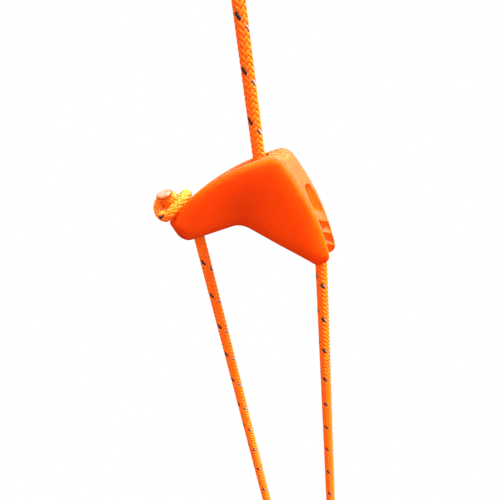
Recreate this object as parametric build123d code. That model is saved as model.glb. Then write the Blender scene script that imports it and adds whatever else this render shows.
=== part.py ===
"""Guy-line tensioner: a one-piece moulded cleat that slides along a thin braided line.

The line comes down from the tent, enters the mouth at the top of the moulding, runs through a curved
tunnel into an open V-shaped cleat with saw teeth, and leaves at the toe. It goes down to the peg, turns
back in a loop, passes up through a hole in the lug and ends in a stopper knot.

The line is a kernmantle cord: a braided sheath round a core. It is one length of cord on the real object.
Here it is cut where it has to bend or to feed when the tensioner moves.

Frame: millimetres, +Z up along the line of pull, +X towards the cleat, Y across the thickness.
The origin is the upper end of the line, so every other point is below it. The drawing below is made
with its zero at the mouth, and everything is moved down by LINE_ABOVE when it is written.
"""

from build123d import *
import math
import os

# ---------------------------------------------------------------- driving dimensions
CORD_RADIUS = 1.5
CORE_RADIUS = 0.9
CORE_GAP = 0.02          # radial air between core and sheath

LINE_ABOVE = 45.0        # line above the mouth
FEED_LENGTH = 22.0       # stretch of it that can be swallowed as the tensioner climbs
PEG_DISTANCE = 463.0     # the two legs point at a peg this far below the mouth
BIGHT_RADIUS = 13.4      # centre line of the turn at the bottom of the loop
RIGHT_LEG_TOP = 29.4     # depth below the mouth at which the line is clear of the toe
LEFT_LEG_TOP = 24.6      # depth at which the leg is clear of the lug
LEG_SPLIT = 62.0         # depth at which the upper legs become the lower loop
CUT_GAP = 0.4            # air left where the cord is cut at a joint

HALF_THICKNESS = 4.4     # of the moulding, across Y
EDGE_ROUND = 1.2

# Corners of the side profile as (x, z), before rounding, with the radius of each corner.
LUG_TOP = (-21.5, -11.1, 6.0)
CROWN = (6.6, 2.1, 3.6)
TOE_OUTER = (17.8, -26.7, 2.6)
TOE_INNER = (14.3, -28.9, 1.9)
ARMPIT = (-6.4, -17.5, 6.0)
LUG_BOTTOM = (-26.6, -25.3, 3.8)
LUG_TIP = (-29.9, -18.9, 0.8)
TOP_BULGE = (-11.3, -4.8)    # the top edge is an arc from LUG_TOP to CROWN through here
BACK_BULGE = (14.0, -11.6)   # the back edge is an arc from CROWN to TOE_OUTER through here

# Tunnel and cleat
TUNNEL_RADIUS = 1.85
MOUTH_RADIUS = 2.4
MOUTH_DEPTH = 1.5
LINE_BEND_TOP = (0.0, -10.0)     # the two control points of the line's bend inside the moulding
LINE_BEND_LOW = (14.6, -15.0)
LINE_EXIT = (14.4, -26.0)
BEND_START = 0.1                 # the cleat's stretch of line starts this far along the bend
CLEAT_FLOOR_X = 9.6
CLEAT_FLOOR_HALF = 0.9
CLEAT_SLOPE = 0.36       # half width gained per mm out from the floor
CLEAT_RIM_HALF = 3.0     # widest half width, at the rim
CLEAT_TOP_Z = -8.6       # the groove is cut off here by a cone, which leaves a round end
TOOTH_HEIGHT = 1.0
TOOTH_FIRST_Z = -19.3    # lower edge of the first tooth at the rim
TOOTH_PITCH = 3.3
TOOTH_LENGTHS = (2.6, 1.7, 1.5)  # along the cleat, first tooth first
TOOTH_RIM_X = 18.5
TOOTH_ROOT = 0.6         # how far a tooth is sunk into its wall
TOOTH_RISE = 0.35        # a tooth climbs this much per mm towards the floor
TOOTH_REACH = 0.9        # of the way to the floor

CLEAR = 4.0              # cutting solids run this far past the moulding

# Lug hole and knot
LUG_MOUTH = (-22.7, -23.9)
KNOT_SEAT = (-26.6, -15.84)
LUG_HOLE_RADIUS = 1.8
LUG_FLARE = 2.6
LUG_FLARE_DEPTH = 0.9
KNOT_WRAP_RADIUS = 3.1   # centre line of each wrap
KNOT_WRAP_RISE = 2.8     # from one wrap to the next
KNOT_WRAP_LEAN = 0.8     # how far each wrap sits towards the lug's tip from the one below
KNOT_LIFT = 0.3          # air between the lug's end face and the knot
TAIL_LENGTH = 2.4        # of the tail above the upper wrap's middle
LINE_TIP_LENGTH = 0.7
TAIL_TIP_LENGTH = 1.1
TIP_SHOULDER = 0.8       # of a bead's length is taken by its round shoulder
TAIL_TIP_RADIUS = 1.9    # the melted bead is wider than the cord


def xz(point):
    """A drawing point (x, z) as a vector in the middle plane. A corner's radius is left off."""
    return Vector(point[0], 0, point[1])


def unit(vector):
    return vector.normalized()


# ---------------------------------------------------------------- the cord's centre lines
apex = Vector(0, 0, -PEG_DISTANCE)
lug_mouth = xz(LUG_MOUTH)
knot_seat = xz(KNOT_SEAT)
line_exit = xz(LINE_EXIT)
left_dir = unit(apex - lug_mouth)
right_dir = unit(apex - line_exit)
lug_axis = unit(knot_seat - lug_mouth)
half_angle = math.radians(left_dir.get_angle(right_dir)) / 2


def on_leg(direction, depth):
    """The point of a leg, at a depth below the mouth, on its way to the peg."""
    return apex - direction * ((PEG_DISTANCE - depth) / abs(direction.Z))


def standing_path():
    return Line((0, 0, FEED_LENGTH + CUT_GAP), (0, 0, LINE_ABOVE))


def feed_path():
    return Line((0, 0, CORD_RADIUS + CUT_GAP), (0, 0, FEED_LENGTH))


def line_bend():
    """The line's curve inside the moulding, from the mouth to the toe."""
    return Bezier((0, 0, 0), xz(LINE_BEND_TOP), xz(LINE_BEND_LOW), line_exit)


def cleat_path():
    """From just under the mouth, through the tunnel and the cleat, to the toe."""
    bend = line_bend().trim(BEND_START, 1.0)
    return bend + Line(line_exit, on_leg(right_dir, RIGHT_LEG_TOP))


def upper_leg_path(direction, top):
    return Line(on_leg(direction, top + CUT_GAP), on_leg(direction, LEG_SPLIT))


def peg_loop_path():
    """Down the left leg, round the bight and up the right leg."""
    bisector = unit(left_dir + right_dir)
    centre = apex - bisector * (BIGHT_RADIUS / math.sin(half_angle))
    reach = BIGHT_RADIUS / math.tan(half_angle)
    left_tangent = apex - left_dir * reach
    right_tangent = apex - right_dir * reach
    bottom = centre + bisector * BIGHT_RADIUS
    down = Line(on_leg(left_dir, LEG_SPLIT + CUT_GAP), left_tangent)
    turn = ThreePointArc(left_tangent, bottom, right_tangent)
    up = Line(right_tangent, on_leg(right_dir, LEG_SPLIT + CUT_GAP))
    return down + turn + up


def lug_path():
    return Line(lug_mouth, knot_seat)


# ---------------------------------------------------------------- cord solids
def tube(path, radius):
    start = Plane(origin=path @ 0, z_dir=path % 0)
    return sweep(start * Circle(radius), path=path)


def cord(name, path):
    """A stretch of cord as two pieces, the sheath and the core inside it."""
    sheath = tube(path, CORD_RADIUS) - tube(path, CORE_RADIUS + CORE_GAP)
    return {f"{name}_sheath": sheath, f"{name}_core": tube(path, CORE_RADIUS)}


def sealed_tip(end, direction, radius, length):
    """The melted bead on a cut end: a short disc with a round shoulder."""
    bead = Cylinder(radius, length, align=(Align.CENTER, Align.CENTER, Align.MIN))
    shoulder = bead.edges().filter_by(GeomType.CIRCLE).sort_by(Axis.Z)[-1]
    return Plane(origin=end, z_dir=direction) * fillet(shoulder, length * TIP_SHOULDER)


# ---------------------------------------------------------------- the moulding
def side_profile():
    """The closed side view, with round corners."""
    corners = [TOE_OUTER, TOE_INNER, ARMPIT, LUG_BOTTOM, LUG_TIP, LUG_TOP, CROWN]
    back = ThreePointArc(CROWN[:2], BACK_BULGE, TOE_OUTER[:2])
    top = ThreePointArc(LUG_TOP[:2], TOP_BULGE, CROWN[:2])
    rest = Polyline(*[corner[:2] for corner in corners[:-1]])
    face = make_face(back + rest + top)
    for x, z, radius in corners:
        corner = face.vertices().sort_by(lambda v: math.hypot(v.X - x, v.Y - z))[0]
        face = fillet(corner, radius)
    return Plane.XZ * face


def cleat_groove():
    """The V-shaped groove, open towards +X and through the toe."""
    shoulder_x = CLEAT_FLOOR_X + (CLEAT_RIM_HALF - CLEAT_FLOOR_HALF) / CLEAT_SLOPE
    outside_x = TOE_OUTER[0] + CLEAR
    half = [(CLEAT_FLOOR_X, CLEAT_FLOOR_HALF), (shoulder_x, CLEAT_RIM_HALF), (outside_x, CLEAT_RIM_HALF)]
    other_half = [(x, -y) for x, y in reversed(half)]
    section = Polyline(*half, *other_half, close=True)
    bottom_z = TOE_INNER[1] - CLEAR
    groove = extrude(Plane.XY.offset(bottom_z) * make_face(section), CLEAT_TOP_Z - bottom_z)
    length = shoulder_x - CLEAT_FLOOR_X
    cone = Cone(CLEAT_FLOOR_HALF, CLEAT_RIM_HALF, length, align=(Align.CENTER, Align.CENTER, Align.MIN))
    return groove + Plane(origin=(CLEAT_FLOOR_X, 0, CLEAT_TOP_Z), z_dir=(1, 0, 0)) * cone


def cleat_teeth():
    """Saw teeth on both walls: each ramp rises downwards, and runs inwards and upwards from the rim."""
    teeth = []
    wall = CLEAT_FLOOR_HALF + (TOOTH_RIM_X - CLEAT_FLOOR_X) * CLEAT_SLOPE
    for side in (-1, 1):
        across = Plane(origin=(TOOTH_RIM_X, 0, 0), x_dir=(0, side, 0), z_dir=(side, 0, 0))
        run = Vector(-1, -side * CLEAT_SLOPE, TOOTH_RISE)
        for number, length in enumerate(TOOTH_LENGTHS):
            low = TOOTH_FIRST_Z - number * TOOTH_PITCH
            high = low + length
            section = Polyline(
                (wall + TOOTH_ROOT, high), (wall, high), (wall - TOOTH_HEIGHT, low),
                (wall + TOOTH_ROOT, low), close=True)
            reach = (TOOTH_RIM_X - CLEAT_FLOOR_X) * TOOTH_REACH
            teeth.append(extrude(across * make_face(section), reach * run.length, dir=unit(run)))
    return teeth


def funnel(rim_centre, outward, hole_radius, rim_radius, depth):
    """A cone that opens a hole's mouth. It runs as far outside the rim as it is deep."""
    outer_radius = 2 * rim_radius - hole_radius
    cone = Cone(hole_radius, outer_radius, depth * 2, align=(Align.CENTER, Align.CENTER, Align.MIN))
    return Plane(origin=rim_centre - outward * depth, z_dir=outward) * cone


def tensioner_body():
    blank = extrude(side_profile(), HALF_THICKNESS, both=True)
    cheeks = blank.faces().sort_by(Axis.Y)
    blank = fillet(cheeks[0].edges() + cheeks[-1].edges(), EDGE_ROUND)
    body = blank - cleat_groove()
    for tooth in cleat_teeth():
        body += tooth & blank
    body -= tube(line_bend(), TUNNEL_RADIUS)
    body -= funnel(Vector(0, 0, 0), Vector(0, 0, 1), TUNNEL_RADIUS, MOUTH_RADIUS, MOUTH_DEPTH)
    body -= tube(Line(lug_mouth - lug_axis * CLEAR, knot_seat + lug_axis * CLEAR), LUG_HOLE_RADIUS)
    for end, outward in ((lug_mouth, -lug_axis), (knot_seat, lug_axis)):
        body -= funnel(end, outward, LUG_HOLE_RADIUS, LUG_FLARE, LUG_FLARE_DEPTH)
    return body


# ---------------------------------------------------------------- knot
def knot_pieces():
    """The stopper knot as two wraps round the line with its cut tail, and the tail's melted bead."""
    towards_tip = unit(xz(LUG_TIP) - xz(LUG_TOP))
    outward = Vector(towards_tip.Z, 0, -towards_tip.X)
    first_rise = KNOT_LIFT + CORD_RADIUS
    knot = None
    for wrap in range(2):
        rise = outward * (first_rise + wrap * KNOT_WRAP_RISE)
        centre = knot_seat + rise + towards_tip * (KNOT_WRAP_LEAN * (wrap + 1))
        turn = Plane(origin=centre, z_dir=outward)
        ring = turn * Torus(KNOT_WRAP_RADIUS, CORD_RADIUS)
        core = turn * Cylinder(KNOT_WRAP_RADIUS, CORD_RADIUS * 1.9)
        knot = ring + core if knot is None else knot + ring + core
    tail_end = centre + outward * TAIL_LENGTH
    knot += tube(Line(centre, tail_end), CORD_RADIUS)
    bead = sealed_tip(tail_end, outward, TAIL_TIP_RADIUS, TAIL_TIP_LENGTH)
    return {"stopper_knot": knot, "knot_tail_tip": bead}


# ---------------------------------------------------------------- all the pieces
def pieces():
    made = {"tensioner_body": tensioner_body()}
    made.update(cord("standing_line", standing_path()))
    made["standing_line_tip"] = sealed_tip(
        Vector(0, 0, LINE_ABOVE), Vector(0, 0, 1), CORD_RADIUS, LINE_TIP_LENGTH)
    made.update(cord("feed_line", feed_path()))
    made["mouth_line"] = Sphere(CORD_RADIUS)
    made.update(cord("cleat_line", cleat_path()))
    made.update(cord("left_leg", upper_leg_path(left_dir, LEFT_LEG_TOP)))
    made.update(cord("right_leg", upper_leg_path(right_dir, RIGHT_LEG_TOP)))
    made.update(cord("peg_loop", peg_loop_path()))
    made.update(cord("lug_line", lug_path()))
    made.update(knot_pieces())
    return made


os.makedirs("parts", exist_ok=True)
for node, shape in pieces().items():
    placed = Pos(0, 0, -LINE_ABOVE) * shape
    placed.label = node
    export_step(placed, f"parts/{node}.step")
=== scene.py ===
"""The looks of a guy-line tensioner on its braided line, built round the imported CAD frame.

Lengths in this file are in millimetres until mesh_piece() turns them into metres. The zero of the
drawing is the mouth of the moulding, at the middle of the CAD node mouth_line.
"""
import math

import bmesh
import bpy
import numpy as np
from mathutils import Matrix, Vector


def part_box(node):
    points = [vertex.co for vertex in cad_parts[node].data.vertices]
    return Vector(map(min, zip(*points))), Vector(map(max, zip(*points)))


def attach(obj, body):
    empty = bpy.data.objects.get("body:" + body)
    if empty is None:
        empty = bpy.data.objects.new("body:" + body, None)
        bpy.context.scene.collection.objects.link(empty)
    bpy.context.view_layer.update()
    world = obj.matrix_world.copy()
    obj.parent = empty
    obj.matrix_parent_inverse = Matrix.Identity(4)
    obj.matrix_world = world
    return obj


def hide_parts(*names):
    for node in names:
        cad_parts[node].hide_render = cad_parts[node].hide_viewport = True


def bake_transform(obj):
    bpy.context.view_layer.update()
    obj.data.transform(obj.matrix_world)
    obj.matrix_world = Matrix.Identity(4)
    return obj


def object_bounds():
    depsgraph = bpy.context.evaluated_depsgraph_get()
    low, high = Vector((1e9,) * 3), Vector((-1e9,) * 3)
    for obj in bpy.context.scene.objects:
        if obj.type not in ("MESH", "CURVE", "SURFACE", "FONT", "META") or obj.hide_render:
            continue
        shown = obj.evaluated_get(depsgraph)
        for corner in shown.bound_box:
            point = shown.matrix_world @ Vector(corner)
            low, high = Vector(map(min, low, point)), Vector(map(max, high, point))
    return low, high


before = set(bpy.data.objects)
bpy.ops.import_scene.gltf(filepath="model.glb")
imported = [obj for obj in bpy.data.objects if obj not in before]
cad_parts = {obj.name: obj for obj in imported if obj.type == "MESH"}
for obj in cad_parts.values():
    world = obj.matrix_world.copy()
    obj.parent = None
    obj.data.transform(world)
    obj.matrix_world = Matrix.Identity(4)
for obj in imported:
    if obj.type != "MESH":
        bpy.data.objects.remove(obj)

MM = 0.001
CAD_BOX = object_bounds()

# ------------------------------------------------------------------ places taken from the frame
low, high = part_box("mouth_line")
MOUTH = np.array((low + high) / 2)


def box_mm(node):
    """A CAD node's lowest and highest corners in the drawing's millimetres."""
    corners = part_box(node)
    return [(np.array(corner) - MOUTH) / MM for corner in corners]


LINE_TOP = box_mm("standing_line_sheath")[1][2]
HALF_THICKNESS = box_mm("tensioner_body")[1][1]
LEG_SPLIT = box_mm("right_leg_sheath")[0][2]

# The line's own course, the same as in the CAD model
PEG = np.array((0.0, 0.0, -463.0))
LUG_MOUTH = np.array((-22.7, 0.0, -23.9))
KNOT_SEAT = np.array((-26.6, 0.0, -15.84))
LINE_BEND = [np.array((x, 0.0, z)) for x, z in ((0.0, 0.0), (0.0, -10.0), (14.6, -15.0), (14.4, -26.0))]
BIGHT_RADIUS = 13.4
AXIS_Y = np.array((0.0, 1.0, 0.0))
AXIS_Z = np.array((0.0, 0.0, 1.0))

# The cord and its braid
CORE_RADIUS = 1.05
CARRIERS = 16            # half of them turn each way
FLOAT_TURN = 4 / CARRIERS    # of a turn, from one float of a yarn to its next
FLOAT_MIDDLE = 0.5 / CARRIERS    # of a turn, from a float's start
BRAID_PITCH = 11.7       # one turn of one yarn
YARN_WIDTH = 0.92
YARN_THICK = 0.40
YARN_OVER = 1.42         # a yarn's middle, from the cord's, where it passes over
YARN_UNDER = 1.21
CROSSING_SHARPNESS = 2.2    # higher makes a yarn go from over to under more suddenly
YARN_STEP = 0.26         # between rings along a yarn
YARN_SIDES = 8
ROD_STEP = 0.4
ROD_SIDES = 24
CORE_INSET = 0.05        # the core ends this far inside the sheath
TURN = 2 * math.pi


def unit(v):
    return v / np.linalg.norm(v)


LIGHT_FROM = unit(np.array((0.44, 0.06, 0.89)))
GLINT_FROM = (1.0, 0.15, 0.2)    # the side on which the tracer's filaments are painted pale, a painted glint of their reflection


# ------------------------------------------------------------------ curves
FINE_STEP = 0.1          # between the points of a finished course
SAME_PLACE = 1e-6        # points nearer than this are one point
POINTS_PER_SPAN = 24
BEND_POINTS = 160
BIGHT_POINTS = 240
BEND_SOFTENING = 60      # rounds, where the loop's stretches meet


def bezier(points, count):
    t = np.linspace(0, 1, count)[:, None]
    p0, p1, p2, p3 = points
    return p0 * (1 - t) ** 3 + 3 * p1 * t * (1 - t) ** 2 + 3 * p2 * t ** 2 * (1 - t) + p3 * t ** 3


def straight(a, b, step=0.2):
    count = max(2, int(np.linalg.norm(b - a) / step))
    return a + (b - a) * np.linspace(0, 1, count)[:, None]


def through(points):
    """A smooth curve through all of the points."""
    p = np.array(points, float)
    p = np.concatenate([[2 * p[0] - p[1]], p, [2 * p[-1] - p[-2]]])
    t = np.linspace(0, 1, POINTS_PER_SPAN, endpoint=False)[:, None]
    spans = []
    for k in range(1, len(p) - 2):
        a, b, c, d = p[k - 1:k + 3]
        spans.append(b + 0.5 * ((c - a) * t + (2 * a - 5 * b + 4 * c - d) * t ** 2
                                + (3 * b - a - 3 * c + d) * t ** 3))
    return np.concatenate(spans + [p[-2:-1]])


def lengths_along(points):
    return np.concatenate(([0], np.cumsum(np.linalg.norm(np.diff(points, axis=0), axis=1))))


def resample(points, step):
    """The same curve in even steps."""
    gaps = np.linalg.norm(np.diff(points, axis=0), axis=1)
    points = points[np.concatenate(([True], gaps > SAME_PLACE))]
    along = lengths_along(points)
    at = np.linspace(0, along[-1], int(round(along[-1] / step)) + 1)
    return np.stack([np.interp(at, along, points[:, k]) for k in range(3)], axis=1)


def soften(points, rounds):
    """Rounds off the corners, leaving the ends where they are."""
    points = points.copy()
    for _ in range(rounds):
        points[1:-1] += 0.5 * ((points[:-2] + points[2:]) / 2 - points[1:-1])
    return points


class Course:
    """A line in space with a tangent, a side and a normal at each point. The side starts out along Y."""

    def __init__(self, points):
        self.points = points
        self.along = lengths_along(points)
        tangents = np.gradient(points, axis=0)
        self.tangents = tangents / np.linalg.norm(tangents, axis=1)[:, None]
        self.sides = np.zeros_like(points)
        side = AXIS_Y
        for k, tangent in enumerate(self.tangents):
            side = unit(side - tangent * (side @ tangent))
            self.sides[k] = side
        self.normals = np.cross(self.sides, self.tangents)

    @property
    def length(self):
        return self.along[-1]

    def at(self, s):
        """Points, normals and sides at the distances s."""
        tables = (self.points, self.normals, self.sides)
        return [np.stack([np.interp(s, self.along, t[:, k]) for k in range(3)], axis=1) for t in tables]

    def reach(self, z, after=0.0, before=math.inf):
        """The distance at which the course is at height z, between two distances."""
        inside = (self.along >= after) & (self.along <= before)
        miss = np.where(inside, np.abs(self.points[:, 2] - z), math.inf)
        return self.along[np.argmin(miss)]


def loop_course():
    """The line from the mouth round the loop to the lug, and how far along it its lowest point is."""
    left_dir = unit(PEG - LUG_MOUTH)
    right_dir = unit(PEG - LINE_BEND[3])
    half_angle = math.acos(left_dir @ right_dir) / 2
    bisector = unit(left_dir + right_dir)
    centre = PEG - bisector * (BIGHT_RADIUS / math.sin(half_angle))
    reach = BIGHT_RADIUS / math.tan(half_angle)
    across = np.array((-bisector[2], 0.0, bisector[0]))
    angles = np.linspace(-half_angle, math.pi + half_angle, BIGHT_POINTS)[1:-1, None]
    turn = centre + BIGHT_RADIUS * (across * np.cos(angles) + bisector * np.sin(angles))
    stretches = [
        bezier(LINE_BEND, BEND_POINTS),
        straight(LINE_BEND[3], PEG - right_dir * reach),
        turn,
        straight(PEG - left_dir * reach, LUG_MOUTH),
        straight(LUG_MOUTH, KNOT_SEAT),
    ]
    course = Course(soften(resample(np.concatenate(stretches), FINE_STEP), BEND_SOFTENING))
    bottom = course.along[np.argmin(course.points[:, 2])]
    return course, bottom


# ------------------------------------------------------------------ mesh helpers
def mesh_piece(name, points, faces, along):
    """A smooth-shaded object from points in the drawing's millimetres.

    along holds three numbers for each point, which the materials read: on a cord the distance along it,
    the share of the way round and the yarn's number, on a bead the share of the way up it, and on the
    moulding the painted glow, which is painted light and shade, and the groove.
    """
    mesh = bpy.data.meshes.new(name)
    mesh.from_pydata((points * MM + MOUTH).tolist(), [], faces)
    layer = mesh.attributes.new("along", "FLOAT_VECTOR", "POINT")
    layer.data.foreach_set("vector", np.asarray(along, np.float32).ravel())
    mesh.shade_smooth()
    piece = bpy.data.objects.new(name, mesh)
    bpy.context.scene.collection.objects.link(piece)
    return piece


def rings_to_faces(rings, sides, first=0):
    """Quads between rings of points, and a cap on each end."""
    k = np.arange(sides)
    a = first + np.arange(rings - 1)[:, None] * sides + k
    b = first + np.arange(rings - 1)[:, None] * sides + (k + 1) % sides
    quads = np.stack([a, b, b + sides, a + sides], axis=-1).reshape(-1, 4).tolist()
    last = first + (rings - 1) * sides
    return quads + [list(range(first + sides - 1, first - 1, -1)), list(range(last, last + sides))]


def rod(name, course, start, end, radius):
    """A plain round rod along a stretch of a course."""
    sides = ROD_SIDES
    count = max(3, int((end - start) / ROD_STEP))
    s = np.linspace(start, end, count)
    p, n, b = course.at(s)
    angle = np.arange(sides) * TURN / sides
    ring = n[:, None, :] * np.cos(angle)[None, :, None] + b[:, None, :] * np.sin(angle)[None, :, None]
    points = (p[:, None, :] + ring * radius).reshape(-1, 3)
    along = np.column_stack([np.repeat(s, sides), np.tile(angle / TURN, count), np.zeros(count * sides)])
    return mesh_piece(name, points, rings_to_faces(count, sides), along)


# ------------------------------------------------------------------ the braid
class Braid:
    """A braid along a course. At each fleck (s, turns made, angle) the tracer yarn floats at that angle."""

    def __init__(self, course, flecks):
        flecks = sorted(flecks)
        s = [fleck[0] for fleck in flecks]
        q = [(fleck[1] + FLOAT_MIDDLE) * BRAID_PITCH for fleck in flecks]
        twist = [math.radians(fleck[2]) + TURN * (fleck[1] + FLOAT_MIDDLE) for fleck in flecks]
        twist = np.unwrap(twist).tolist()
        self.course = course
        # At the distance s a yarn has made q / BRAID_PITCH turns, and the twist turns the whole braid
        self.s = [0.0] + s + [course.length]
        self.q = [q[0] - s[0]] + q + [q[-1] + course.length - s[-1]]
        self.twist = [twist[0]] + twist + [twist[-1]]

    def yarn(self, hand, index, s):
        """Angle and radius of a yarn's middle at the distances s."""
        q = np.interp(s, self.s, self.q) / BRAID_PITCH
        twist = np.interp(s, self.s, self.twist)
        angle = index * TURN * 2 / CARRIERS - hand * q * TURN + twist
        # A yarn goes over two others and then under two, so its wave is four crossings long
        crossings = 2 * index + q * CARRIERS if hand > 0 else 2 * index - q * CARRIERS + 2
        wave = np.tanh(CROSSING_SHARPNESS * np.sin((crossings + 0.5) * math.pi / 2))
        wave = wave / math.tanh(CROSSING_SHARPNESS)
        return angle, (YARN_OVER + YARN_UNDER) / 2 + wave * (YARN_OVER - YARN_UNDER) / 2

    def yarn_rings(self, hand, index, start, end):
        """One flat oval yarn between two distances, its width varying a little along it."""
        count = max(4, int(round((end - start) / YARN_STEP)) + 1)
        s = np.linspace(start, end, count)
        angle, radius = self.yarn(hand, index, s)
        p, n, b = self.course.at(s)
        out = n * np.cos(angle)[:, None] + b * np.sin(angle)[:, None]
        centre = p + out * radius[:, None]
        tangent = np.gradient(centre, axis=0)
        tangent /= np.linalg.norm(tangent, axis=1)[:, None]
        across = np.cross(tangent, out)
        across /= np.linalg.norm(across, axis=1)[:, None]
        up = np.cross(across, tangent)
        turn = (np.arange(YARN_SIDES) + 0.5) * TURN / YARN_SIDES
        yarn = index + CARRIERS / 2 * (hand < 0)
        swell = 1 + 0.05 * np.sin(s * 1.7 + yarn * 2.4) + 0.03 * np.sin(s * 4.1 + yarn)
        flat = np.sign(np.cos(turn)) * np.abs(np.cos(turn)) ** 0.8 * YARN_WIDTH / 2
        ring = (across[:, None, :] * flat[None, :, None] * swell[:, None, None]
                + up[:, None, :] * (np.sin(turn) * YARN_THICK / 2)[None, :, None])
        along = np.column_stack([np.repeat(s, YARN_SIDES), np.tile(turn / TURN, count),
                                 np.full(count * YARN_SIDES, yarn)])
        return (centre[:, None, :] + ring).reshape(-1, 3), along, count

    def yarns(self, name, start, end, chosen):
        """The yarns (hand, index) for which chosen is true, as one piece."""
        points, alongs, faces, first = [], [], [], 0
        for hand in (1, -1):
            for index in range(CARRIERS // 2):
                if chosen(hand, index):
                    ring_points, along, count = self.yarn_rings(hand, index, start, end)
                    faces += rings_to_faces(count, YARN_SIDES, first)
                    first += len(ring_points)
                    points.append(ring_points)
                    alongs.append(along)
        return mesh_piece(name, np.concatenate(points), faces, np.concatenate(alongs))


def is_tracer(hand, index):
    return hand == 1 and index == 0


# ------------------------------------------------------------------ material helpers
class Nodes:
    """A short way to write a node tree."""

    def __init__(self, tree):
        self.tree = tree

    def add(self, kind, inputs=None, **settings):
        node = self.tree.nodes.new(kind)
        for key, value in settings.items():
            setattr(node, key, value)
        for key, value in (inputs or {}).items():
            self.set(node, key, value)
        return node

    def set(self, node, key, value):
        if isinstance(value, bpy.types.NodeSocket):
            self.tree.links.new(value, node.inputs[key])
        else:
            node.inputs[key].default_value = value

    def math(self, operation, a, b=0.0, c=0.0):
        return self.add("ShaderNodeMath", {0: a, 1: b, 2: c}, operation=operation).outputs[0]

    def between(self, factor, a, b):
        """A number that is a where the factor is 0 and b where it is 1."""
        return self.math("ADD", self.math("MULTIPLY", factor, self.math("SUBTRACT", b, a)), a)

    def mix(self, factor, a, b):
        node = self.add("ShaderNodeMix", {0: factor, 6: a, 7: b}, data_type="RGBA")
        return node.outputs[2]

    def ramp(self, factor, low, high, to_low=0.0, to_high=1.0):
        node = self.add("ShaderNodeMapRange", {0: factor, 1: low, 2: high, 3: to_low, 4: to_high})
        return node.outputs[0]

    def dot(self, a, b):
        return self.add("ShaderNodeVectorMath", {0: a, 1: b}, operation="DOT_PRODUCT").outputs["Value"]

    def noise(self, vector, scale, detail=2.0, rough=0.5):
        return self.add("ShaderNodeTexNoise", {"Vector": vector, "Scale": scale, "Detail": detail,
                                               "Roughness": rough}).outputs["Fac"]

    def bump(self, height, strength, distance, normal=None):
        inputs = {"Height": height, "Strength": strength, "Distance": distance}
        if normal is not None:
            inputs["Normal"] = normal
        return self.add("ShaderNodeBump", inputs).outputs[0]


def new_material(name):
    """An empty principled material: its helper and its shader."""
    material = bpy.data.materials.new(name)
    material.use_nodes = True
    return material, Nodes(material.node_tree), material.node_tree.nodes["Principled BSDF"]


def colour(r, g, b):
    return (r, g, b, 1.0)


def along_parts(nodes):
    """The three numbers that mesh_piece() stored."""
    attribute = nodes.add("ShaderNodeAttribute", attribute_name="along")
    split = nodes.add("ShaderNodeSeparateXYZ", {0: attribute.outputs["Vector"]})
    return split.outputs[0], split.outputs[1], split.outputs[2]


def facing(nodes, direction):
    """The dot product of the surface's normal and a direction."""
    normal = nodes.add("ShaderNodeNewGeometry").outputs["Normal"]
    return nodes.dot(normal, tuple(direction))


def filaments(nodes, s, v, count, twist):
    """Fine twisted filaments round a yarn, from 0 in the grooves to 1 on top."""
    phase = nodes.math("MULTIPLY_ADD", v, count * TURN, nodes.math("MULTIPLY", s, twist * TURN))
    return nodes.math("MULTIPLY_ADD", nodes.math("SINE", phase), 0.5, 0.5)


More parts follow.
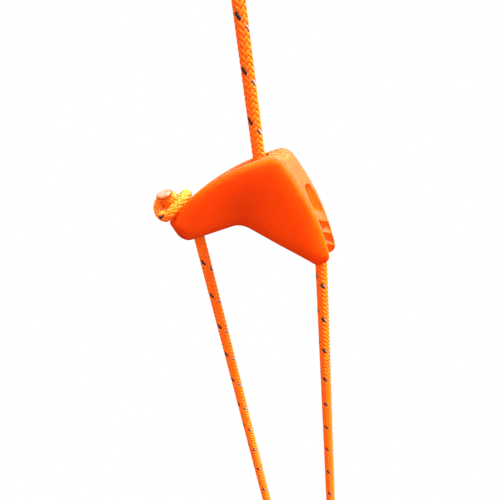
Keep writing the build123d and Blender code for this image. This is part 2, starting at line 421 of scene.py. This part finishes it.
# ------------------------------------------------------------------ materials
# The noise textures' scales are per metre
def moulding_material():
    """Orange moulded plastic with grain, scratches, a parting line and worn edges.

    Its colour has painted light and shade in it: it is painted lighter along the upper and back edges where
    light comes through it, in the groove, where it faces the key light and on the teeth that face it, and
    painted darker in the thick middle, along the lower edges and at the lug's lower end.
    """
    # painted shade, for the thick middle, the lower edges and the lug's lower end
    deep = colour(0.66, 0.027, 0.0)
    plain = colour(0.98, 0.060, 0.0)
    # painted light along the upper and back edges, where light comes through the plastic
    painted_glow_colour = colour(1.0, 0.16, 0.002)
    # painted light in the groove
    painted_groove_light = colour(1.0, 0.21, 0.010)
    # painted light, where the surface faces the key light
    painted_key_light_colour = colour(1.0, 0.085, 0.024)
    # a painted highlight on the groove's teeth where they face the key light
    painted_tooth_light = colour(1.0, 0.16, 0.06)
    worn = colour(1.0, 0.24, 0.04)
    material, nodes, shader = new_material("moulding")
    place = nodes.add("ShaderNodeTexCoord").outputs["Object"]
    y = nodes.add("ShaderNodeSeparateXYZ", {0: place}).outputs[1]
    pointy = nodes.add("ShaderNodeNewGeometry").outputs["Pointiness"]
    glow, groove, _ = along_parts(nodes)
    # random cloudiness in the plastic, plus the painted glow, which is painted light and shade
    cloud_and_painted_glow = nodes.math("MULTIPLY_ADD", nodes.noise(place, 120, 3), 0.3, glow)
    towards = facing(nodes, LIGHT_FROM)
    # how squarely the surface faces the key light, for painted light
    painted_key_light = nodes.ramp(towards, 0.42, 0.60)
    # the groove's teeth that face the key light, for a painted highlight
    tooth = nodes.math("MULTIPLY", groove, nodes.ramp(towards, 0.18, 0.42))
    scuffs = nodes.noise(place, 900, 4, 0.65)
    wear = nodes.math("MULTIPLY", nodes.ramp(pointy, 0.53, 0.60), nodes.ramp(scuffs, 0.4, 0.62))
    # painted shade where the glow is low, then painted light where it is high
    base = nodes.mix(nodes.ramp(cloud_and_painted_glow, 0.0, 0.8), deep, plain)
    base = nodes.mix(nodes.ramp(cloud_and_painted_glow, 0.8, 1.5), base, painted_glow_colour)
    # painted light on the walls and floor of the groove
    base = nodes.mix(nodes.math("MULTIPLY", groove, 0.9), base, painted_groove_light)
    base = nodes.mix(painted_key_light, base, painted_key_light_colour)
    base = nodes.mix(tooth, base, painted_tooth_light)
    base = nodes.mix(nodes.math("MULTIPLY", wear, 0.35), base, worn)
    nodes.set(shader, "Base Color", base)
    nodes.set(shader, "Roughness", nodes.ramp(scuffs, 0.3, 0.7, 0.42, 0.55))
    nodes.set(shader, "Specular IOR Level", 0.07)
    nodes.set(shader, "Subsurface Weight", 0.6)
    nodes.set(shader, "Subsurface Radius", (1.0, 0.2, 0.06))
    nodes.set(shader, "Subsurface Scale", 4 * MM)
    parting = nodes.ramp(nodes.math("ABSOLUTE", y), 0.0, 0.1 * MM, 1.0, 0.0)
    grain = nodes.bump(nodes.noise(place, 5200, 2), 0.25, 0.03 * MM)
    scratches = nodes.add("ShaderNodeMapping", {0: place, "Rotation": (0.3, 0.5, 0.2), "Scale": (1, 1, 14)})
    scratched = nodes.bump(nodes.noise(scratches.outputs[0], 420, 2), 0.12, 0.05 * MM, grain)
    nodes.set(shader, "Normal", nodes.bump(parting, 0.6, 0.06 * MM, scratched))
    return material


def yarn_material():
    """Orange yarn of fine filaments, each yarn a slightly different shade, painted paler towards the key
    light.
    """
    material, nodes, shader = new_material("yarn")
    s, v, yarn = along_parts(nodes)
    strands = filaments(nodes, s, v, 9, 0.55)
    shade = nodes.add("ShaderNodeTexWhiteNoise", {"W": yarn}, noise_dimensions="1D").outputs["Value"]
    mottle = nodes.noise(nodes.add("ShaderNodeTexCoord").outputs["Object"], 500, 2)
    # lighter on the filaments' tops and darker between them, which is painted shade; the per-yarn shade and
    # the mottle are the yarns' own tones
    light = nodes.mix(shade, colour(0.99, 0.115, 0.0005), colour(1.0, 0.145, 0.001))
    dark = nodes.mix(mottle, colour(0.92, 0.080, 0.0), colour(0.96, 0.100, 0.0))
    # painted light: paler where the yarn faces the key light
    painted_key_light = nodes.ramp(facing(nodes, LIGHT_FROM), 0.45, 1.0)
    base = nodes.mix(nodes.ramp(strands, 0.0, 0.75), dark, light)
    nodes.set(shader, "Base Color", nodes.mix(painted_key_light, base, colour(1.0, 0.26, 0.035)))
    nodes.set(shader, "Roughness", 0.55)
    nodes.set(shader, "Specular IOR Level", 0.15)
    # a faint painted glow, standing for light that comes through the yarn
    nodes.set(shader, "Emission Color", colour(1.0, 0.11, 0.0))
    nodes.set(shader, "Emission Strength", 0.13)
    nodes.set(shader, "Sheen Weight", 0.05)
    nodes.set(shader, "Sheen Tint", colour(1.0, 0.6, 0.15))
    nodes.set(shader, "Subsurface Weight", 0.3)
    nodes.set(shader, "Subsurface Radius", (1.0, 0.3, 0.1))
    nodes.set(shader, "Subsurface Scale", 0.8 * MM)
    nodes.set(shader, "Normal", nodes.bump(strands, 0.5, 0.05 * MM))
    return material


def tracer_material():
    """Near-black yarn whose filaments reflect, painted pale on one side as a painted glint."""
    material, nodes, shader = new_material("tracer")
    s, v, _ = along_parts(nodes)
    strands = filaments(nodes, s, v, 7, 0.5)
    # painted glint: the filaments are painted pale on the side that faces GLINT_FROM, most on their tops
    painted_glint_side = nodes.ramp(facing(nodes, GLINT_FROM), 0.66, 0.92)
    glint = nodes.math("MULTIPLY", painted_glint_side, nodes.ramp(strands, 0.1, 0.8, 0.45, 1.0))
    # lighter on the filaments' tops and darker between them: painted shade
    dark = nodes.mix(strands, colour(0.016, 0.010, 0.010), colour(0.080, 0.040, 0.035))
    nodes.set(shader, "Base Color", nodes.mix(glint, dark, colour(0.36, 0.27, 0.31)))
    nodes.set(shader, "Roughness", 0.45)
    nodes.set(shader, "Normal", nodes.bump(strands, 0.5, 0.05 * MM))
    return material


def core_material():
    """Straight white filaments, painted darker between them as painted shade."""
    material, nodes, shader = new_material("core")
    s, v, _ = along_parts(nodes)
    strands = filaments(nodes, s, v, 40, 0.05)
    # lighter on the filaments' tops and darker between them: painted shade
    nodes.set(shader, "Base Color", nodes.mix(strands, colour(0.62, 0.55, 0.45), colour(0.86, 0.83, 0.76)))
    nodes.set(shader, "Roughness", 0.7)
    nodes.set(shader, "Normal", nodes.bump(strands, 0.5, 0.05 * MM))
    return material


def bead_material():
    """Melted sheath and core: glossy, pale on top where the white core shows, orange at the rim."""
    material, nodes, shader = new_material("bead")
    up, _, _ = along_parts(nodes)
    place = nodes.add("ShaderNodeTexCoord").outputs["Object"]
    blotch = nodes.noise(place, 700, 3)
    pale = nodes.mix(blotch, colour(0.23, 0.150, 0.115), colour(0.25, 0.18, 0.145))
    rim = nodes.mix(blotch, colour(0.50, 0.075, 0.006), colour(0.60, 0.12, 0.02))
    nodes.set(shader, "Base Color", nodes.mix(nodes.ramp(up, 0.55, 0.85), rim, pale))
    nodes.set(shader, "Roughness", nodes.ramp(blotch, 0.3, 0.7, 0.18, 0.35))
    nodes.set(shader, "Subsurface Weight", 0.4)
    nodes.set(shader, "Subsurface Radius", (1.0, 0.4, 0.2))
    nodes.set(shader, "Subsurface Scale", 0.8 * MM)
    nodes.set(shader, "Normal", nodes.bump(nodes.noise(place, 900, 2), 0.25, 0.10 * MM))
    return material


YARN = yarn_material()
TRACER = tracer_material()
CORE = core_material()
BEAD = bead_material()
MOULDING = moulding_material()


def dress(piece, material):
    """Gives a piece its material."""
    piece.data.materials.clear()
    piece.data.materials.append(material)


# ------------------------------------------------------------------ cords
def cord(name, braid, start, end, sheath_nodes, core_nodes, place):
    """A stretch of cord as three pieces: plain yarns, the tracer yarn and the core.

    place() is called on each of them.
    """
    yarns = braid.yarns(name + "_yarns", start, end, lambda hand, index: not is_tracer(hand, index))
    tracer = braid.yarns(name + "_tracer", start, end, is_tracer)
    core = rod(name + "_core_fibre", braid.course, start + CORE_INSET, end - CORE_INSET, CORE_RADIUS)
    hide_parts(*sheath_nodes)
    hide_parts(*core_nodes)
    for piece, material, slot in ((yarns, YARN, "cord_sheath"), (tracer, TRACER, "cord_tracer"),
                                  (core, CORE, "cord_core")):
        dress(piece, material)
        place(piece)


def riding(body):
    return lambda piece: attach(piece, body)


def blending(a, b, start_z, end_z):
    return lambda piece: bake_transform(piece)


LINE_INSIDE = 9.0        # of the upper line inside the moulding, out of sight
LINE_STILL = 3.6         # above the mouth
TUNNEL_START = 12.0      # along the bend from the mouth, where the cleat's stretch starts
LUG_LINE_LENGTH = 6.4    # of the knotted end's own line inside the lug, below the knot's seat
VIEW_AZIMUTH = -65.4     # the side that the flecks' turns are measured from, in degrees from +X towards +Y

# Heights between which a stretch of the loop goes from one body to the next
RIGHT_LEG_BEND = (-29, -60)
LEFT_LEG_BEND = (-26, -60)
LOOP_FEED = (-64, -110)

# Flecks as (height, tracer's turns since the first fleck of the same stretch, degrees from the viewing side)
UPPER_FLECKS = ((33.2, 0, -24), (9.7, 2, -46))
RIGHT_FLECKS = ((-36.4, 0, 2), (-71.2, 3, -16), (-103.4, 6, -28))
LEFT_FLECKS = ((-125.3, 0, 4), (-93.7, 3, 38), (-59.7, 6, 62), (-35.6, 8, 68))
BIGHT_TURNS = 1.04       # turns per pitch between the right leg's flecks and the left leg's


def fleck(course, z, turns, degrees, down=True, after=0.0, before=math.inf):
    """A fleck for Braid() at height z, on a stretch of the course that goes down or up.

    The course's normal points towards -X where it goes down, and towards +X where it goes up.
    """
    angle = VIEW_AZIMUTH + degrees
    return course.reach(z, after, before), turns, 180 - angle if down else angle


def upper_line():
    """From the upper end to well inside the moulding."""
    course = Course(straight(AXIS_Z * LINE_TOP, AXIS_Z * -LINE_INSIDE, FINE_STEP))
    flecks = [fleck(course, z, turns, degrees) for z, turns, degrees in UPPER_FLECKS]
    cord("upper_line", Braid(course, flecks), 0, course.length,
         ["standing_line_sheath", "feed_line_sheath", "mouth_line"], ["standing_line_core", "feed_line_core"],
         blending("standing_line", "mouth", LINE_STILL, -LINE_INSIDE))
    return course


def loop_braid(course, bottom):
    """The loop's braid, with its flecks down the right leg and up the left one."""
    flecks = [fleck(course, z, turns, degrees, before=bottom) for z, turns, degrees in RIGHT_FLECKS]
    first_left = course.reach(LEFT_FLECKS[0][0], after=bottom)
    between = round((first_left - flecks[-1][0]) / BRAID_PITCH * BIGHT_TURNS) - FLOAT_TURN
    for z, turns, degrees in LEFT_FLECKS:
        s, _, angle = fleck(course, z, 0, degrees, down=False, after=bottom)
        flecks.append((s, RIGHT_FLECKS[-1][1] + between + turns, angle))
    return Braid(course, flecks)


def loop_cords():
    """The cord from inside the tunnel round the loop and up into the lug, in three stretches."""
    course, bottom = loop_course()
    braid = loop_braid(course, bottom)
    split_right = course.reach(LEG_SPLIT, before=bottom)
    split_left = course.reach(LEG_SPLIT, after=bottom)
    inside_lug = course.length - LUG_LINE_LENGTH
    cord("right_leg", braid, TUNNEL_START, split_right, ["cleat_line_sheath", "right_leg_sheath"],
         ["cleat_line_core", "right_leg_core"], blending("tensioner", "loop_head", *RIGHT_LEG_BEND))
    cord("peg_loop", braid, split_right, split_left, ["peg_loop_sheath"], ["peg_loop_core"],
         blending("loop_head", "loop", *LOOP_FEED))
    cord("left_leg", braid, split_left, inside_lug, ["left_leg_sheath"], ["left_leg_core"],
         blending("tensioner", "loop_head", *LEFT_LEG_BEND))


# ------------------------------------------------------------------ the melted beads
BEAD_SIDES = 40
BEAD_RINGS = 22
BEAD_WIDEST = 0.45       # of the way up a bead
BEAD_DISH = 0.6          # of a bead's radius, inside which its top is dished
TAIL_BEAD_RADIUS = 2.4
TAIL_BEAD_LENGTH = 1.5
TAIL_BEAD_OVERLAP = 0.35    # of the bead over the cord's end
LINE_BEAD_RADIUS = 1.6
LINE_BEAD_LENGTH = 0.9
LINE_BEAD_OVERLAP = 0.2


def melted_bead(name, base, direction, radius, length, node, body):
    """A cut end sealed by melting: a cap that swells past the cord and is dished and uneven on top."""
    side = unit(np.cross(direction, (0.3, 0.9, 0.2)))
    other = np.cross(direction, side)
    t = np.linspace(0, 1, BEAD_RINGS)
    below = t < BEAD_WIDEST
    above = np.clip((t - BEAD_WIDEST) / (1 - BEAD_WIDEST), 0, 1) * math.pi / 2
    out = radius * np.where(below, 0.80 + 0.20 * np.sin(t / BEAD_WIDEST * math.pi / 2), np.cos(above) ** 0.55)
    rise = length * np.where(below, t, BEAD_WIDEST + (1 - BEAD_WIDEST) * np.sin(above))
    rise -= 0.22 * length * np.clip(1 - out / radius / BEAD_DISH, 0, 1) * (t > 0.5)
    angle = np.arange(BEAD_SIDES) * TURN / BEAD_SIDES
    lobes = 1 + 0.06 * np.sin(2 * angle + 0.7) + 0.035 * np.sin(3 * angle + 2.0) + 0.02 * np.sin(7 * angle)
    tilt = 0.10 * length * np.sin(angle + 1.0)
    ring = side * np.cos(angle)[:, None] + other * np.sin(angle)[:, None]
    points = (base + ring[None, :, :] * (out[:, None] * lobes)[:, :, None]
              + direction * (rise[:, None] + tilt * (out / radius)[:, None] * t[:, None])[:, :, None])
    along = np.zeros((BEAD_RINGS * BEAD_SIDES, 3))
    along[:, 0] = np.repeat(t, BEAD_SIDES)
    piece = mesh_piece(name, points.reshape(-1, 3), rings_to_faces(BEAD_RINGS, BEAD_SIDES), along)
    dress(piece, BEAD)
    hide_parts(node)
    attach(piece, body)


def line_bead(course):
    """The bead on the upper line's cut end."""
    melted_bead("line_bead", course.points[0] - AXIS_Z * LINE_BEAD_OVERLAP, AXIS_Z,
                LINE_BEAD_RADIUS, LINE_BEAD_LENGTH, "standing_line_tip", "standing_line")


# ------------------------------------------------------------------ the stopper knot
LUG_FACE = unit(np.array((-0.68, 0.0, 0.73)))    # the end face that the knot sits on
LUG_AXIS = unit(KNOT_SEAT - LUG_MOUTH)
LUG_SLOPE = unit(np.array((0.73, 0.0, 0.68)))    # up along that face
KNOT_FRONT = unit(0.453 * LUG_SLOPE - 0.57 * AXIS_Y)    # where the knot's front loop faces
KNOT_SIDE = np.cross(KNOT_FRONT, LUG_FACE)
KNOT_DIAMETER = 2.8      # the cord squeezed in the knot
KNOT_BEND = 1.7          # tightest radius of the cord's middle
KNOT_STEP = 0.6          # between the points that the knot is relaxed with
KNOT_REST = 1.2          # the cord's middle over the end face, where it is squeezed against it
KNOT_ROOT = (12.0, 8.0, 4.0, 0.0)    # depths under the seat through which the line comes up
KNOT_ROUNDS = 60
KNOT_PUSHES = 6          # in each round
KNOT_STIFFNESS = 0.2     # of each fault is put right at a push: a bend that is too tight
KNOT_CONTACT = 0.3       # two stretches that are too near
KNOT_LIFT = 0.6          # a point too near the end face
KNOT_EASE = 0.15         # a corner, once in each round
KNOT_SOFTENING = 30      # rounds on the finished knot
KNOT_FLECKS = ((0, 84), (3, 108))    # (turns that the tracer has made past the seat, degrees round the cord)
TAIL_CUT = 1.2           # taken off the end of the laid cord

# An overhand knot laid over the seat: (towards the lug's tip, towards the front, out from the end face).
# The line rises, turns over outwards, comes round the front and behind itself, and its tail
# comes out between the first rise and the turn.
KNOT_LAY = (
    (-0.9, -0.3, 2.0), (-0.9, -0.6, 4.3), (0.6, -0.6, 5.9), (3.2, -0.2, 5.9), (4.9, 0.6, 4.1),
    (4.8, 2.1, 1.7), (2.8, 3.2, 1.2), (-0.6, 3.2, 1.2), (-3.1, 2.3, 1.6), (-4.0, 0.2, 1.9),
    (-3.1, -2.5, 2.3), (-0.2, -3.6, 2.5), (1.8, -2.4, 2.7), (1.8, 0.2, 3.3), (1.0, 2.3, 4.1),
    (0.6, 3.1, 5.3), (0.1, 3.5, 6.7),
)


def even_lengths(p, step):
    """Moves neighbours so that every step along the cord is the same."""
    for odd in (0, 1):
        pairs = (len(p) - odd) // 2
        a, b = p[odd:odd + 2 * pairs:2], p[odd + 1:odd + 1 + 2 * pairs:2]
        d = b - a
        length = np.linalg.norm(d, axis=1)[:, None]
        move = d * (0.5 * (length - step) / length)
        p[odd:odd + 2 * pairs:2] += move
        p[odd + 1:odd + 1 + 2 * pairs:2] -= move


def push_apart(p, first, second, distance, strength):
    """Pushes pairs of points that are nearer than a distance away from each other."""
    d = p[second] - p[first]
    length = np.linalg.norm(d, axis=1)
    near = length < distance
    move = d[near] * ((distance - length[near]) / length[near] * strength)[:, None]
    np.add.at(p, second[near], move)
    np.add.at(p, first[near], -move)


def tightened_knot():
    """The knot's centre line, pulled so tight that the cord touches itself and the lug."""
    below = [KNOT_SEAT - LUG_AXIS * depth for depth in KNOT_ROOT]
    above = [KNOT_SEAT + a * KNOT_SIDE + b * KNOT_FRONT + c * LUG_FACE for a, b, c in KNOT_LAY]
    p = resample(through(below + above), KNOT_STEP)
    count = len(p)
    held = np.where((p - KNOT_SEAT) @ LUG_FACE < 0.2)[0].max() + 1
    home = p[:held].copy()
    apart = np.triu_indices(count, int(KNOT_DIAMETER * 1.5 / KNOT_STEP) + 1)
    next_but = []
    for gap in (2, 3):
        chord = 2 * KNOT_BEND * math.sin(gap * KNOT_STEP / 2 / KNOT_BEND)
        next_but.append((np.arange(count - gap), np.arange(gap, count), chord))
    for _ in range(KNOT_ROUNDS):
        for _ in range(KNOT_PUSHES):
            for first, second, distance in next_but:
                push_apart(p, first, second, distance, KNOT_STIFFNESS)
            even_lengths(p, KNOT_STEP)
            push_apart(p, *apart, KNOT_DIAMETER, KNOT_CONTACT)
            height = (p - KNOT_SEAT) @ LUG_FACE
            sunk = (np.arange(count) > held + 1) & (height < KNOT_REST)
            p[sunk] += LUG_FACE * (KNOT_REST - height[sunk])[:, None] * KNOT_LIFT
            p[:held] = home
        p[held + 1:-1] += KNOT_EASE * ((p[held:-2] + p[held + 2:]) / 2 - p[held + 1:-1])
    return soften(resample(p, FINE_STEP), KNOT_SOFTENING)


def knotted_end():
    """The line in the lug, the knot and its tail with the melted bead, all on one body."""
    course = Course(tightened_knot())
    seat = course.along[np.argmin(np.linalg.norm(course.points - KNOT_SEAT, axis=1))]
    flecks = [(seat + turns * BRAID_PITCH, turns, degrees) for turns, degrees in KNOT_FLECKS]
    end = course.length - TAIL_CUT
    cord("knot", Braid(course, flecks), seat - LUG_LINE_LENGTH, end,
         ["lug_line_sheath", "stopper_knot"], ["lug_line_core"], riding("knotted_end"))
    tip = course.at([end])[0][0]
    direction = unit(tip - course.at([end - 1.0])[0][0])
    melted_bead("tail_bead", tip - direction * TAIL_BEAD_OVERLAP, direction, TAIL_BEAD_RADIUS,
                TAIL_BEAD_LENGTH, "knot_tail_tip", "knotted_end")


# ------------------------------------------------------------------ the moulding
VOXEL = 0.22
SECTION_INSET = 1.25     # the outline is read this far in from a cheek, where it is full size
GROOVE_HALF = 2.95       # half of the groove's width
GROOVE_FLOOR = 9.2       # in X; the groove lies beyond it
GROOVE_LIP = 0.35        # the groove's colour starts this far in from the outline
WELD = 1e-4              # CAD points nearer than this are joined
EASING_ROUNDS = 12       # of smoothing before the crown, which ease the edges
FINISH_ROUNDS = 4        # of smoothing after it
SMOOTH_STEP = 0.5        # of the way to the neighbours' middle, and
SWELL_STEP = -0.45       # back again
CROWN_REACH = 1.2        # times the crown's width, where it has died out
CROWN_SPREAD = 16        # rounds of evening out
GLOW_SPREAD = 90
GROOVE_SPREAD = 2


def cad_section(mesh, y):
    """The ends (x, z) of the segments in which a mesh crosses the plane at y."""
    grid = bmesh.new()
    grid.from_mesh(mesh)
    geometry = grid.verts[:] + grid.edges[:] + grid.faces[:]
    cut = bmesh.ops.bisect_plane(grid, geom=geometry, plane_co=(0, y, 0), plane_no=(0, 1, 0))["geom_cut"]
    ends = [[(v.co.x, v.co.z) for v in edge.verts] for edge in cut if isinstance(edge, bmesh.types.BMEdge)]
    grid.free()
    return np.array(ends)


def nearest_on_outline(points, segments):
    """For each (x, z) point, its distance to the outline and the nearest spot on it."""
    a, d = segments[:, 0], segments[:, 1] - segments[:, 0]
    square = np.maximum((d * d).sum(axis=1), 1e-12)
    best = np.full(len(points), np.inf)
    spot = np.zeros_like(points)
    for k in range(len(a)):
        t = np.clip(((points - a[k]) @ d[k]) / square[k], 0, 1)
        on = a[k] + t[:, None] * d[k]
        distance = np.linalg.norm(points - on, axis=1)
        nearer = distance < best
        best[nearer] = distance[nearer]
        spot[nearer] = on[nearer]
    return best, spot


def share(value, start, span):
    """0 up to the start, and then evenly up to 1 over the span."""
    return np.clip((value - start) / span, 0, 1)


def crown_at(spot):
    """How deep and how wide the cheeks' crown is near a spot of the outline.

    It is fullest at the lug and at the foot of the back, and shallowest under the arch and at the top of
    the back.
    """
    x, z = spot[:, 0], spot[:, 1]
    back = share(x, 4, 6)
    lug = share(-x, 20, 5)
    under = np.clip((-0.62 * (x + 8) - 17 - z) / 3 + 0.6, 0, 1) * (1 - back) * (1 - lug)
    ends = np.maximum(back, lug)
    upper_back = back * share(z, -18, 8)
    depth = 0.75 + 0.40 * ends - 0.40 * under - 0.75 * upper_back
    width = 3.2 + 2.2 * ends - 0.6 * under
    return depth, width


def painted_glow_at(points, distance, spot):
    """How much light is painted into the plastic's colour, standing for light that comes through it.

    It is painted lightest along the upper and back edges, and darkest, as painted shade, in the thick
    middle, along the lower edges and at the lug's lower end.
    """
    x, z = points[:, 0], points[:, 2]
    out = (spot - points[:, [0, 2]]) / np.maximum(distance, 1e-3)[:, None]
    slope = out @ unit(np.array((0.45, 0.9)))
    upper_edge = np.clip(slope, 0, 1) * np.exp(-distance / 2.2)
    lower_edge = np.clip(-slope, 0, 1) * np.exp(-distance / 3.5)
    thick = np.exp(-((x + 4) / 7) ** 2 - ((z + 12) / 9) ** 2)
    lug_end = share(-x, 22, 5) * share(-z, 17, 6)
    return 0.62 + 0.65 * upper_edge - 0.5 * lower_edge - 0.45 * thick - 0.55 * lug_end


def in_groove(points, distance):
    """1 on the walls and the floor of the cleat, 0 elsewhere."""
    inside = (np.abs(points[:, 1]) < GROOVE_HALF) & (points[:, 0] > GROOVE_FLOOR) & (distance > GROOVE_LIP)
    return inside.astype(float)


def neighbour_sums(values, edges):
    """For each point of a mesh, the sum of the values at its neighbours."""
    return (np.bincount(edges[:, 0], values[edges[:, 1]], len(values))
            + np.bincount(edges[:, 1], values[edges[:, 0]], len(values)))


def spread(values, edges, rounds):
    """The same values on the points of a mesh, evened out along its edges."""
    count = np.bincount(edges.ravel(), minlength=len(values))
    for _ in range(rounds):
        values = 0.5 * values + 0.5 * neighbour_sums(values, edges) / count
    return values


def smoothed(points, edges, rounds):
    """Laplacian smoothing that swells back after each step, so that the shape keeps its size."""
    count = np.bincount(edges.ravel(), minlength=len(points))[:, None]
    for k in range(rounds):
        total = np.stack([neighbour_sums(points[:, axis], edges) for axis in range(3)], axis=1)
        step = SMOOTH_STEP if k % 2 == 0 else SWELL_STEP
        points = points + step * (total / count - points)
    return points


def moulding():
    """The CAD moulding, remeshed finely, with its edges eased and its cheeks crowned."""
    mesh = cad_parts["tensioner_body"].data.copy()
    mesh.transform(Matrix.Scale(1 / MM, 4) @ Matrix.Translation(-Vector(MOUTH)))
    grid = bmesh.new()
    grid.from_mesh(mesh)
    bmesh.ops.remove_doubles(grid, verts=grid.verts, dist=WELD)
    grid.to_mesh(mesh)
    grid.free()
    segments = cad_section(mesh, HALF_THICKNESS - SECTION_INSET)
    blank = bpy.data.objects.new("blank", mesh)
    bpy.context.scene.collection.objects.link(blank)
    remesh = blank.modifiers.new("remesh", "REMESH")
    remesh.mode = "VOXEL"
    remesh.voxel_size = VOXEL
    fine = bpy.data.meshes.new_from_object(blank.evaluated_get(bpy.context.evaluated_depsgraph_get()))
    bpy.data.objects.remove(blank)
    points = np.array([v.co for v in fine.vertices])
    edges = np.array([e.vertices[:] for e in fine.edges])
    faces = [p.vertices[:] for p in fine.polygons]
    points = smoothed(points, edges, EASING_ROUNDS)
    distance, spot = nearest_on_outline(points[:, [0, 2]], segments)
    depth, width = crown_at(spot)
    fall = np.clip(1 - distance / (CROWN_REACH * width), 0, 1) ** 3
    outer = np.clip(np.abs(points[:, 1]) / HALF_THICKNESS, 0, 1) ** 4
    points[:, 1] -= spread(np.sign(points[:, 1]) * depth * fall * outer, edges, CROWN_SPREAD)
    points = smoothed(points, edges, FINISH_ROUNDS)
    along = np.zeros((len(points), 3))
    # the painted glow: painted light along the upper and back edges, painted shade in the thick middle, the
    # lower edges and the lug's lower end
    along[:, 0] = spread(painted_glow_at(points, distance, spot), edges, GLOW_SPREAD)
    along[:, 1] = spread(in_groove(points, distance), edges, GROOVE_SPREAD)
    piece = mesh_piece("moulding", points, faces, along)
    dress(piece, MOULDING)
    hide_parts("tensioner_body")
    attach(piece, "tensioner")


# ------------------------------------------------------------------ stage, light and camera
FLOOR_HALF = 60          # metres, so that its edge is far out of sight
FLOOR_DROP = 0.1         # metres below the object
KEY_STRENGTH = 17.0
KEY_SIZE = 18            # degrees across, which softens its shadows
CAMERA_PLACE = (51.1, -111.4, 40.8)    # from the mouth
CAMERA_RIGHT = (0.911, 0.39, -0.134)
CAMERA_BACK = (0.404, -0.78, 0.479)
LENS = 36                # of the same size as the sensor, which gives a field of 53 degrees


def floor():
    """A plain floor that is white to the camera, and dim to every other ray."""
    mesh = bpy.data.meshes.new("floor")
    far = FLOOR_HALF
    mesh.from_pydata([(-far, -far, 0), (far, -far, 0), (far, far, 0), (-far, far, 0)], [], [(0, 1, 2, 3)])
    piece = bpy.data.objects.new("floor", mesh)
    piece.location = (0, 0, CAD_BOX[0][2] - FLOOR_DROP)
    bpy.context.scene.collection.objects.link(piece)
    material = bpy.data.materials.new("floor")
    material.use_nodes = True
    material.node_tree.nodes.clear()
    nodes = Nodes(material.node_tree)
    path = nodes.add("ShaderNodeLightPath")
    paper = nodes.add("ShaderNodeBsdfDiffuse", {0: colour(0.07, 0.07, 0.07)}).outputs[0]
    dim = nodes.add("ShaderNodeEmission", {0: colour(1, 1, 1), 1: 0.08}).outputs[0]
    white = nodes.add("ShaderNodeEmission", {0: colour(1, 1, 1), 1: 1.0}).outputs[0]
    lit = nodes.add("ShaderNodeMixShader", {0: path.outputs["Is Glossy Ray"], 1: paper, 2: dim}).outputs[0]
    either = nodes.add("ShaderNodeMixShader", {0: path.outputs["Is Camera Ray"], 1: lit, 2: white}).outputs[0]
    nodes.add("ShaderNodeOutputMaterial", {0: either})
    mesh.materials.append(material)


def studio():
    """White all round for the camera, a soft fill, dimmer reflections and one soft key light."""
    studio_world = bpy.data.worlds.new("studio")
    studio_world.use_nodes = True
    studio_world.node_tree.nodes.clear()
    nodes = Nodes(studio_world.node_tree)
    path = nodes.add("ShaderNodeLightPath")
    direction = nodes.add("ShaderNodeTexCoord").outputs["Generated"]
    towards_key = nodes.dot(direction, tuple(LIGHT_FROM))
    glossy = nodes.ramp(towards_key, -0.2, 0.9, 0.04, 0.35)
    fill = nodes.ramp(towards_key, -1.0, 1.0, 1.15, 1.60)
    lighting = nodes.between(path.outputs["Is Glossy Ray"], fill, glossy)
    strength = nodes.between(path.outputs["Is Camera Ray"], lighting, 1.0)
    background = nodes.add("ShaderNodeBackground", {0: colour(1, 1, 1), 1: strength})
    nodes.add("ShaderNodeOutputWorld", {0: background.outputs[0]})
    bpy.context.scene.world = studio_world
    bpy.context.scene.view_settings.view_transform = "Standard"
    lamp = bpy.data.lights.new("key", "SUN")
    lamp.energy = KEY_STRENGTH
    lamp.angle = math.radians(KEY_SIZE)
    lamp.color = (1.0, 0.93, 0.82)
    key = bpy.data.objects.new("key", lamp)
    key.rotation_euler = Vector(LIGHT_FROM).to_track_quat("Z", "Y").to_euler()
    bpy.context.scene.collection.objects.link(key)


def camera():
    """A view from the front right, a little above."""
    data = bpy.data.cameras.new("camera")
    data.lens = LENS
    data.sensor_width = LENS
    data.clip_start = 0.01
    eye = bpy.data.objects.new("camera", data)
    right = Vector(CAMERA_RIGHT).normalized()
    back = Vector(CAMERA_BACK).normalized()
    up = back.cross(right).normalized()
    axes = Matrix((up.cross(back), up, back)).transposed().to_4x4()
    eye.matrix_world = Matrix.Translation(Vector(MOUTH) + Vector(CAMERA_PLACE) * MM) @ axes
    bpy.context.scene.collection.objects.link(eye)
    bpy.context.scene.camera = eye


# ------------------------------------------------------------------ build
line_bead(upper_line())
loop_cords()
knotted_end()
moulding()
floor()
studio()
camera()
